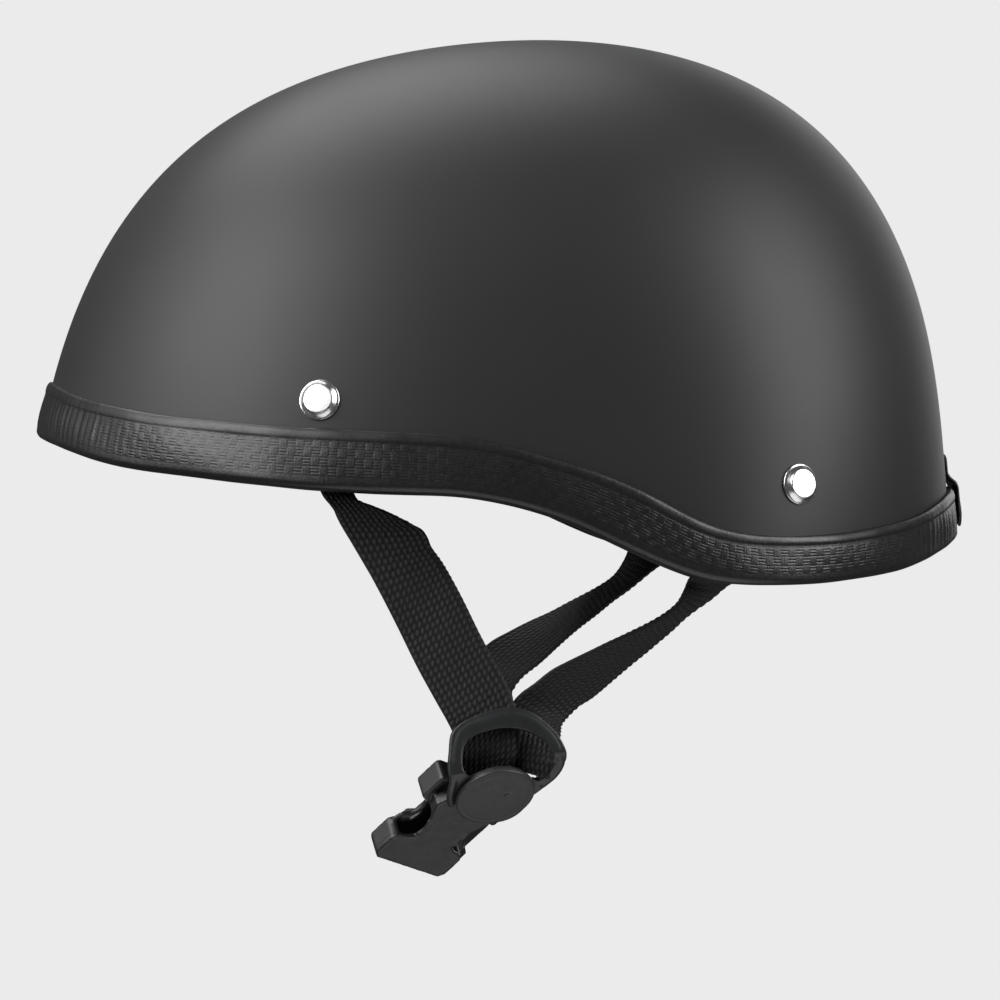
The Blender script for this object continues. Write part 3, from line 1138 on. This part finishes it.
def make_disc(side):
    c, n, a_dir, w_dir = (DISC_C, DISC_N, DISC_A, DISC_W) if side == "left" else (DISC_C_R, DISC_N, DISC_A, DISC_W)
    prof = [(-8.9, 0), (-8.9, 1.9), (-8.6, 2.15), (-3.6, 2.2), (-1.75, 2.3), (-1.75, 10.6)] + \
        arc_pts(-1.35, 10.98, 0.4, 180, 90, 4) + [(-1.0, 11.4), (-0.8, 11.4)] + arc_pts(-0.62, 10.78, 0.62, 88, 12, 8)
    radii = np.linspace(10.55, 0.15, 44)
    prof += [(0.0 + 0.13 * (1 - (r / 10.6) ** 2) - 0.05 * math.exp(-((r - 9.9) / 0.35) ** 2), r) for r in radii]
    prof += [(0.13, 0)]
    ob = lathe(f"disc_{side}_turned", c, n, prof, seg=144)
    # the small gate mark beside the middle
    co = np.empty(len(ob.data.vertices) * 3, np.float32)
    ob.data.vertices.foreach_get("co", co)
    p = co.reshape(-1, 3).astype(float) / MM
    rel = p - c
    mark = -2.35 * a_dir + 1.9 * w_dir
    face = rel @ n > -0.2
    d2 = ((rel - mark) ** 2).sum(1) - (rel @ n) ** 2
    p -= np.where(face, 0.34 * np.exp(-d2 / 0.22) - 0.06 * np.exp(-(np.sqrt(np.maximum(d2, 0)) - 0.85) ** 2 / 0.04), 0)[:, None] * n
    if side == "right":
        p = p * np.array([-1, 1, 1])
    ob.data.vertices.foreach_set("co", (p * MM).astype(np.float32).reshape(-1))
    ob.data.update()
    if side == "right":
        ob.data.flip_normals()
    return finish_piece(ob, "disc", f"straps_{side}", f"swivel_cap_{side}")


def make_swivel_washer(side):
    c = DISC_C if side == "left" else DISC_C_R
    sx = np.array([1 if side == "left" else -1, 1, 1])
    o = c - DISC_N * 7.4
    prof = [(0.0, 2.25), (0.0, 3.55), (0.1, 3.75), (0.25, 3.8), (0.75, 3.8), (0.92, 3.72), (1.0, 3.5), (1.0, 2.25)]
    ring = []
    ang = np.arange(64) / 64 * 2 * np.pi
    _, x, y, z = axis_frame(o, DISC_N)
    for hgt, r in prof:
        ring.append(o + z * hgt + r * (np.cos(ang)[:, None] * x + np.sin(ang)[:, None] * y))
    verts = np.concatenate(ring) * sx
    ob = fast_mesh(f"swivel_washer_{side}_turned", verts, grid_quads(len(prof), 64, True, True))
    fix_normals(ob)
    return finish_piece(ob, "washer", f"straps_{side}", f"swivel_washer_{side}")


for side in ("left", "right"):
    make_ring(side)
    make_disc(side)
    make_swivel_washer(side)


def on_buckle(a_, w_, depth, c=None, ad=None, wd=None):
    c = DISC_C if c is None else c
    ad = DISC_A if ad is None else ad
    wd = DISC_W if wd is None else wd
    return c + ad * a_ + wd * w_ - DISC_N * depth


def make_female():
    body = cad_copy("buckle_half_moulded", "buckle_female")
    extras = []
    # thick rounded ears at both sides of the mouth, and a lip along each side window
    for s in (1, -1):
        extras.append(tube_on("ear", [on_buckle(28.9, s * 11.9, 4.6), on_buckle(32.5, s * 12.1, 4.5),
                                      on_buckle(36.6, s * 12.0, 4.6)], 1.15, squash_to=DISC_N))
        extras.append(tube_on("ear_back", [on_buckle(29.4, s * 11.9, 10.0), on_buckle(36.4, s * 11.9, 10.0)], 0.95,
                              squash_to=DISC_N))
        extras.append(tube_on("lip", [on_buckle(19.2, s * 7.6, 3.9), on_buckle(21.4, s * 6.9, 3.8),
                                      on_buckle(23.4, s * 6.7, 3.8), on_buckle(25.6, s * 7.2, 3.8)], 0.5,
                              squash_to=DISC_N))
        extras.append(tube_on("window_back", [on_buckle(28.6, s * 12.1, 9.5), on_buckle(25.4, s * 11.2, 9.5),
                                              on_buckle(23.7, s * 9.0, 9.5), on_buckle(21.6, s * 8.0, 9.5),
                                              on_buckle(19.2, s * 7.8, 9.5), on_buckle(16.8, s * 8.8, 9.5)], 0.8,
                              squash_to=DISC_N))
    # flat bar across the strap frame
    extras.append(tube_on("frame_bar", [on_buckle(5.7, -11.9, 7.6), on_buckle(5.7, -4.0, 7.6), on_buckle(5.7, 4.0, 7.6),
                                        on_buckle(5.7, 11.9, 7.6)], 0.75, squash_to=DISC_N))
    extras.append(tube_on("frame_bar_2", [on_buckle(15.0, -11.9, 7.6), on_buckle(15.0, -7.0, 7.6)], 0.6, squash_to=DISC_N))
    absorb(body, *extras)
    soften(body, 0.28, 26)
    return finish_piece(body, "buckle", "female_buckle", "buckle_female")


make_female()
for node, body_name in (("buckle_male", "male_buckle"), ("buckle_prong_rear", "rear_prong"),
                        ("buckle_prong_front", "front_prong")):
    piece = cad_copy(node + "_moulded", node)
    soften(piece, 0.24, 6)
    finish_piece(piece, "buckle", body_name, node)

# ----------------------------------------------------- goggle-strap retainer
def rear_profile(z):
    lo, hi = 60.0, 170.0
    for _ in range(60):
        mid = (lo + hi) / 2
        if form_value(np.array([0.0, mid, z])) < 0:
            lo = mid
        else:
            hi = mid
    return lo


def rear_off(z, off):
    y = rear_profile(z)
    n = form_normal(np.array([0.0, y, z]))
    return (y + n[1] * off, z + n[2] * off)


def leather_strip(name, line, width, thick, corner, puff=0.22):
    """Strip of leather across the helmet's middle, along (y, z) points of its inner face."""
    c, length = smooth_curve(line, 170)
    t = np.gradient(c, axis=0)
    t /= np.linalg.norm(t, axis=1)[:, None]
    n = np.stack([-t[:, 1], t[:, 0]], 1)
    n *= np.where(n[:, 0] < 0, -1, 1)[:, None]
    s = np.linspace(0, length, len(c))
    d = np.minimum(s, length - s)
    half = width / 2 - corner + np.sqrt(np.clip(corner ** 2 - np.clip(corner - d, 0, corner) ** 2, 0.04, None))
    m = 61
    v = np.sin(np.linspace(-np.pi / 2, np.pi / 2, m))
    x = v[None, :] * half[:, None]
    edge = np.minimum(half[:, None] - np.abs(x), np.minimum(d, 3.0)[:, None] + 0.02)
    rnd = np.sqrt(np.clip(1 - (1 - np.clip(edge / 0.6, 0, 1)) ** 2, 0.0, 1))
    seam = np.exp(-((half[:, None] - np.abs(x) - 2.1) / 0.3) ** 2) * (np.minimum(d, 4.0) / 4.0)[:, None]
    top = thick * (0.5 + 0.5 * rnd) + puff * (1 - (x / half[:, None]) ** 2) - 0.16 * seam + \
        0.03 * np.sin(x * 1.9 + s[:, None] * 0.8) * rnd
    low = thick * (0.5 - 0.5 * rnd)
    def place(off):
        y = c[:, 0:1] + n[:, 0:1] * off
        z = c[:, 1:2] + n[:, 1:2] * off
        return np.stack([x, y, z], -1)
    ring = np.concatenate([place(top), place(low)[:, ::-1]], 1)
    k = len(c)
    n2 = 2 * m
    quads = grid_quads(k, n2, False, True)
    i = np.arange(m - 1)
    cap0 = np.stack([i, i + 1, n2 - 2 - i, n2 - 1 - i], 1)
    ob = fast_mesh(name, ring, np.concatenate([quads, cap0, cap0 + (k - 1) * n2]))
    fix_normals(ob)
    # stitches along both edges
    stitches = []
    for sx in (-1, 1):
        pos = 3.4
        while pos < length - 5.0:
            pts = []
            for f in np.linspace(0, 1, 5):
                q = pos + 2.1 * f
                i0 = np.interp(q, s, np.arange(k))
                yy, zz = np.interp(i0, np.arange(k), c[:, 0]), np.interp(i0, np.arange(k), c[:, 1])
                ny, nz = np.interp(i0, np.arange(k), n[:, 0]), np.interp(i0, np.arange(k), n[:, 1])
                hw = np.interp(i0, np.arange(k), half)
                off = thick + puff * 0.4 - 0.22 + 0.24 * math.sin(math.pi * f)
                pts.append((sx * (hw - 2.1), yy + ny * off, zz + nz * off))
            pts = np.array(pts)
            stitches.append(pts)
            pos += 2.75
    return ob, stitches


def stitch_mesh(name, runs, radius):
    """Short rounded stitches as one mesh."""
    verts, quads, tris, base, seg = [], [], [], 0, 8
    ang = np.arange(seg) / seg * 2 * np.pi
    for pts in runs:
        k = len(pts)
        t = np.gradient(pts, axis=0)
        t /= np.linalg.norm(t, axis=1)[:, None]
        side = np.cross(t, np.array([1.0, 0.2, 0.1]))
        side /= np.linalg.norm(side, axis=1)[:, None]
        other = np.cross(t, side)
        r = radius * np.array([0.45] + [1.0] * (k - 2) + [0.45])
        ring = pts[:, None, :] + (np.cos(ang)[None, :, None] * side[:, None, :] +
                                  np.sin(ang)[None, :, None] * other[:, None, :]) * r[:, None, None]
        verts += [ring.reshape(-1, 3), pts[:1] - t[:1] * radius * 0.5, pts[-1:] + t[-1:] * radius * 0.5]
        quads.append(grid_quads(k, seg, False, True, base))
        i = np.arange(seg)
        j = (i + 1) % seg
        tris.append(np.stack([np.full(seg, base + k * seg), j + base, i + base], 1))
        tris.append(np.stack([np.full(seg, base + k * seg + 1), base + (k - 1) * seg + i, base + (k - 1) * seg + j], 1))
        base += k * seg + 2
    ob = fast_mesh(name, np.concatenate(verts), np.concatenate(quads), tris=np.concatenate(tris))
    fix_normals(ob)
    return ob


line = [rear_off(z, 0.12) for z in (33.6, 32.6, 31.5, 30.4, 29.4, 28.6)] + \
    [rear_off(z, off) for z, off in ((28.0, 0.16), (27.2, 0.42), (26.4, 0.9), (25.6, 1.65), (24.7, 2.5), (23.6, 2.95),
                                     (21.6, 3.0), (17.0, 3.0), (12.4, 3.0))]
strip, runs = leather_strip("retainer_strap_leather", line, 16.0, 0.9, 3.4, puff=0.1)
finish_piece(strip, "retainer", None, "retainer_tab", "retainer_flap")
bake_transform(strip)
stitches = stitch_mesh("retainer_stitches", runs, 0.24)
thread = moulded_plastic("thread_dark", (0.03, 0.03, 0.031), 0.5)
stitches.data.materials.clear()
stitches.data.materials.append(thread)
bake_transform(stitches)

RR_Y = rear_profile(31.0)
RR_N = form_normal(np.array([0.0, RR_Y, 31.0]))
rr = lathe("retainer_rivet_turned", (0.0, RR_Y, 31.0), RR_N,
           [(-5.6, 0), (-5.6, 2.6), (-5.45, 2.95), (-4.5, 3.35), (-4.3, 3.3), (-4.3, 1.5), (1.12, 1.5), (1.12, 2.15)] +
           arc_pts(1.3, 2.2, 0.18, 180, 0, 6) + [(1.62, 2.0), (1.78, 1.6), (1.89, 1.0), (1.94, 0.5), (1.96, 0)],
           seg=96)
finish_piece(rr, "snap", "helmet", "retainer_rivet")
SN_Y, SN_Z = rear_off(16.5, 2.5)
SN_N = form_normal(np.array([0.0, rear_profile(16.5), 16.5]))
SN_O = np.array([0.0, SN_Y + 0.08, SN_Z])
stud = lathe("snap_stud_turned", SN_O, SN_N,
             [(0, 0), (0, 2.8), (0.08, 3.0), (0.2, 2.92), (0.25, 2.6), (0.25, 1.5), (0.4, 1.38), (0.62, 1.42),
              (0.82, 1.58), (0.96, 1.5), (1.05, 1.2), (1.06, 0.6), (1.06, 0)], seg=72)
finish_piece(stud, "snap", "helmet", "snap_stud")
cap_o = SN_O + SN_N * 1.65
cap_prof = [(-0.1, 0), (-0.1, 4.7)] + arc_pts(0.14, 4.78, 0.2, 180, 0, 8) + \
    [(0.3, 4.5), (0.33, 4.3), (0.42, 4.1), (0.56, 3.8), (0.66, 3.2), (0.72, 2.3), (0.75, 1.4), (0.76, 0.6), (0.76, 0)]
cap_ob = lathe("snap_cap_turned", cap_o, SN_N, cap_prof, seg=120)
finish_piece(cap_ob, "snap", "retainer", "snap_cap")


def turned_ring(name, origin, axis, section, seg=72):
    """Ring turned from a closed (height, radius) section."""
    o, x, y, z = axis_frame(origin, axis)
    ang = np.arange(seg) / seg * 2 * np.pi
    sec = np.array(section, float)
    v = o + sec[:, None, 0:1] * z + sec[:, None, 1:2] * (np.cos(ang)[None, :, None] * x + np.sin(ang)[None, :, None] * y)
    ob = fast_mesh(name, v.reshape(-1, 3), grid_quads(len(sec), seg, True, True))
    fix_normals(ob)
    return ob


socket = turned_ring("snap_socket_turned", SN_O, SN_N,
                     [(0.6, 2.14), (0.63, 2.42), (0.72, 2.54), (0.95, 2.52), (1.05, 2.4), (1.5, 2.4), (1.58, 2.3),
                      (1.58, 2.14), (1.25, 2.1), (1.1, 2.02), (0.9, 2.0), (0.72, 2.04)])
finish_piece(socket, "snap", "retainer", "snap_socket")

# washers under the strap rivets
for i, (end, pt) in enumerate(RIVET_PTS.items()):
    for side, sx in (("left", 1), ("right", -1)):
        nn = form_normal(pt)
        o = (pt - nn * 6.9)
        w = turned_ring(f"rivet_washer_{end}_{side}", o * np.array([sx, 1, 1]), nn * np.array([sx, 1, 1]),
                        [(0.0, 2.1), (0.0, 6.2), (0.1, 6.42), (0.3, 6.5), (0.66, 6.5), (0.84, 6.4), (0.9, 6.2),
                         (0.9, 2.35), (0.8, 2.15), (0.5, 2.05)])
        finish_piece(w, "washer", "helmet", "rivet_washers")

# -------------------------------------------------------------- comfort pads


def mesh_arrays(ob):
    me = ob.data
    v = np.empty(len(me.vertices) * 3, np.float32)
    me.vertices.foreach_get("co", v)
    n = np.empty(len(me.vertices) * 3, np.float32)
    me.vertices.foreach_get("normal", n)
    return v.reshape(-1, 3).astype(float) / MM, n.reshape(-1, 3).astype(float)


def put_vertices(ob, v):
    ob.data.vertices.foreach_set("co", (v * MM).astype(np.float32).reshape(-1))
    ob.data.update()


def cad_tree(node, sides):
    """Nearest-point trees of a CAD node: the whole surface, its face to the shell and its face to the head."""
    src = frame["nodes"][node]
    me = src.data
    me.calc_loop_triangles()
    v = np.array([src.matrix_world @ q.co for q in me.vertices]) / MM
    t = np.array([tuple(q.vertices) for q in me.loop_triangles])
    n = np.cross(v[t[:, 1]] - v[t[:, 0]], v[t[:, 2]] - v[t[:, 0]])
    n /= np.maximum(np.linalg.norm(n, axis=1), 1e-9)[:, None]
    f = (n * form_normal(v[t].mean(1))).sum(1)
    trees = [BVHTree.FromPolygons([tuple(q) for q in v], [tuple(int(i) for i in q) for q in t[pick]])
             for pick in (np.ones(len(t), bool), f > sides, f < -sides)]
    return trees


def distances(tree, v):
    return np.array([tree.find_nearest(Vector(q))[3] for q in v])


def keep_in_solid(tree, v, clear):
    """Moves points that come out of a solid, or nearer than clear to its skin, back below the skin."""
    out = v.copy()
    for i, q in enumerate(v):
        p, n, _, d = tree.find_nearest(Vector(q))
        depth = (Vector(q) - p).dot(n)
        if depth > -clear:
            out[i] = np.array(p - n * clear) if depth > 0 else np.array(Vector(q) - n * (clear + depth))
    return out


def level_loops(ob, d):
    """Closed polylines where a value given for each vertex crosses zero."""
    me = ob.data
    me.calc_loop_triangles()
    v, _ = mesh_arrays(ob)
    t = np.empty(len(me.loop_triangles) * 3, np.int32)
    me.loop_triangles.foreach_get("vertices", t)
    t = t.reshape(-1, 3)
    cross = (d[t] > 0).any(1) & (d[t] <= 0).any(1)
    point, links = {}, {}
    for tri in t[cross]:
        keys = []
        for a, b in ((tri[0], tri[1]), (tri[1], tri[2]), (tri[2], tri[0])):
            if (d[a] > 0) != (d[b] > 0):
                key = (min(a, b), max(a, b))
                if key not in point:
                    f = d[key[0]] / (d[key[0]] - d[key[1]])
                    point[key] = v[key[0]] * (1 - f) + v[key[1]] * f
                keys.append(key)
        if len(keys) == 2:
            links.setdefault(keys[0], []).append(keys[1])
            links.setdefault(keys[1], []).append(keys[0])
    loops, seen = [], set()
    for start in sorted(links):
        if start in seen:
            continue
        loop, cur, prev = [], start, None
        while cur is not None and cur not in seen:
            seen.add(cur)
            loop.append(point[cur])
            nxt = [k for k in links[cur] if k != prev and k not in seen]
            prev, cur = cur, (nxt[0] if nxt else None)
        loops.append(np.array(loop))
    return sorted(loops, key=len)[::-1]


def loop_tube(name, pts, radius, seg=12, spacing=1.6):
    p = np.vstack([pts, pts[:1]])
    s = np.concatenate([[0], np.cumsum(np.linalg.norm(np.diff(p, axis=0), axis=1))])
    n = max(int(s[-1] / spacing), 24)
    w = np.arange(n) / n * s[-1]
    c = np.stack([np.interp(w, s, p[:, k]) for k in range(3)], 1)
    for _ in range(6):
        c = 0.5 * c + 0.25 * (np.roll(c, 1, 0) + np.roll(c, -1, 0))
    t = np.roll(c, -1, 0) - np.roll(c, 1, 0)
    t /= np.linalg.norm(t, axis=1)[:, None]
    fn = form_normal(c)
    side = np.cross(t, fn)
    side /= np.linalg.norm(side, axis=1)[:, None]
    up = np.cross(side, t)
    a = np.arange(seg) / seg * 2 * np.pi
    twist = np.cos(3 * (w[:, None] * 0.9 + a[None, :])) * 0.03
    v = c[:, None, :] + (np.cos(a)[None, :, None] * side[:, None, :] + np.sin(a)[None, :, None] * up[:, None, :]) * \
        (radius * (1 + twist))[..., None]
    ob = fast_mesh(name, v.reshape(-1, 3), grid_quads(n, seg, True, True))
    fix_normals(ob)
    return ob


def channels_for(node, v):
    """How near each point is to a sewn channel of that pad, 0 to 1."""
    x, y, z = v[:, 0], v[:, 1], v[:, 2]
    g = np.zeros(len(v))
    if node == "pad_crown":
        r = np.hypot(x, y - 6)
        g = np.maximum(g, np.exp(-((r - 27) / 1.25) ** 2))
        ang = np.arctan2(y - 6, x)
        for k in range(6):
            a = k * math.pi / 3 + math.pi / 6
            off = np.abs(np.sin(ang - a)) * r
            on = (np.cos(ang - a) > 0) & (r > 27) & (r < 43)
            g = np.maximum(g, np.where(on, np.exp(-(off / 1.25) ** 2), 0))
    elif node in ("pad_brow", "pad_nape"):
        for c in (-28.0, 0.0, 28.0):
            g = np.maximum(g, np.exp(-((x - c) / 1.25) ** 2))
        if node == "pad_brow":
            g = np.maximum(g, np.exp(-((z - 68) / 1.25) ** 2))
        else:
            g = np.maximum(g, np.exp(-((z - 46) / 1.25) ** 2))
    else:
        for c in (-9.0, 21.0):
            g = np.maximum(g, np.exp(-((y - c) / 1.25) ** 2))
        g = np.maximum(g, np.exp(-((z - 62) / 1.25) ** 2))
    return g


def make_pad(node):
    whole, near_shell, near_head = cad_tree(node, 0.75)
    ob = cad_copy(node + "_sewn", node)
    mod = ob.modifiers.new("skin", "REMESH")
    mod.mode = "VOXEL"
    mod.voxel_size = 4.0 * MM
    apply_all(ob)
    round_off = ob.modifiers.new("round", "SMOOTH")
    round_off.factor, round_off.iterations = 0.5, 5
    apply_all(ob)
    v, n = mesh_arrays(ob)
    start = v - n * 0.7
    put_vertices(ob, start)
    scene.frame_start, scene.frame_end = 1, 20
    cl = ob.modifiers.new("fill", "CLOTH")
    st = cl.settings
    st.quality = 6
    st.mass = 0.25
    st.use_pressure = True
    st.uniform_pressure_force = 4.0
    st.effector_weights.gravity = 0.0
    st.tension_stiffness = 40.0
    st.compression_stiffness = 40.0
    st.shear_stiffness = 15.0
    st.bending_stiffness = 2.0
    st.air_damping = 6.0
    cl.collision_settings.use_collision = False
    cl.point_cache.frame_start, cl.point_cache.frame_end = 1, 20
    for f in range(1, 21):
        scene.frame_set(f)
    apply_all(ob)
    scene.frame_set(1)
    v2, _ = mesh_arrays(ob)
    move = v2 - start
    move -= move.mean(0)
    size = np.linalg.norm(move, axis=1)
    move *= (np.minimum(size, 2.2) / np.maximum(size, 1e-6))[:, None]
    put_vertices(ob, start + move)
    v, _ = mesh_arrays(ob)
    put_vertices(ob, keep_in_solid(whole, v, 0.25))
    sub = ob.modifiers.new("fine", "SUBSURF")
    sub.levels = sub.render_levels = 2
    apply_all(ob)
    v, n = mesh_arrays(ob)
    d_out, d_in = distances(near_shell, v), distances(near_head, v)
    part = d_out / (d_out + d_in)
    inner = smooth_step(part, 0.5, 0.85)
    g = channels_for(node, v)
    pucker = 0.5 + 0.5 * np.sin(v[:, 0] * 1.15 + v[:, 1] * 0.9 + v[:, 2] * 1.05)
    v = v + form_normal(v) * (inner * (1.9 * g + 0.22 * pucker * np.clip(g * 2.2, 0, 1) * (1 - g)))[:, None]
    put_vertices(ob, v)
    ob.data.polygons.foreach_set("use_smooth", np.ones(len(ob.data.polygons), bool))
    loops = level_loops(ob, part - 0.45)
    piping = loop_tube(node + "_piping", loops[0], 0.8)
    finish_piece(ob, "pad", "helmet", node)
    finish_piece(piping, "pad", "helmet")


for pad_node in ("pad_crown", "pad_brow", "pad_nape", "pad_left", "pad_right"):
    make_pad(pad_node)
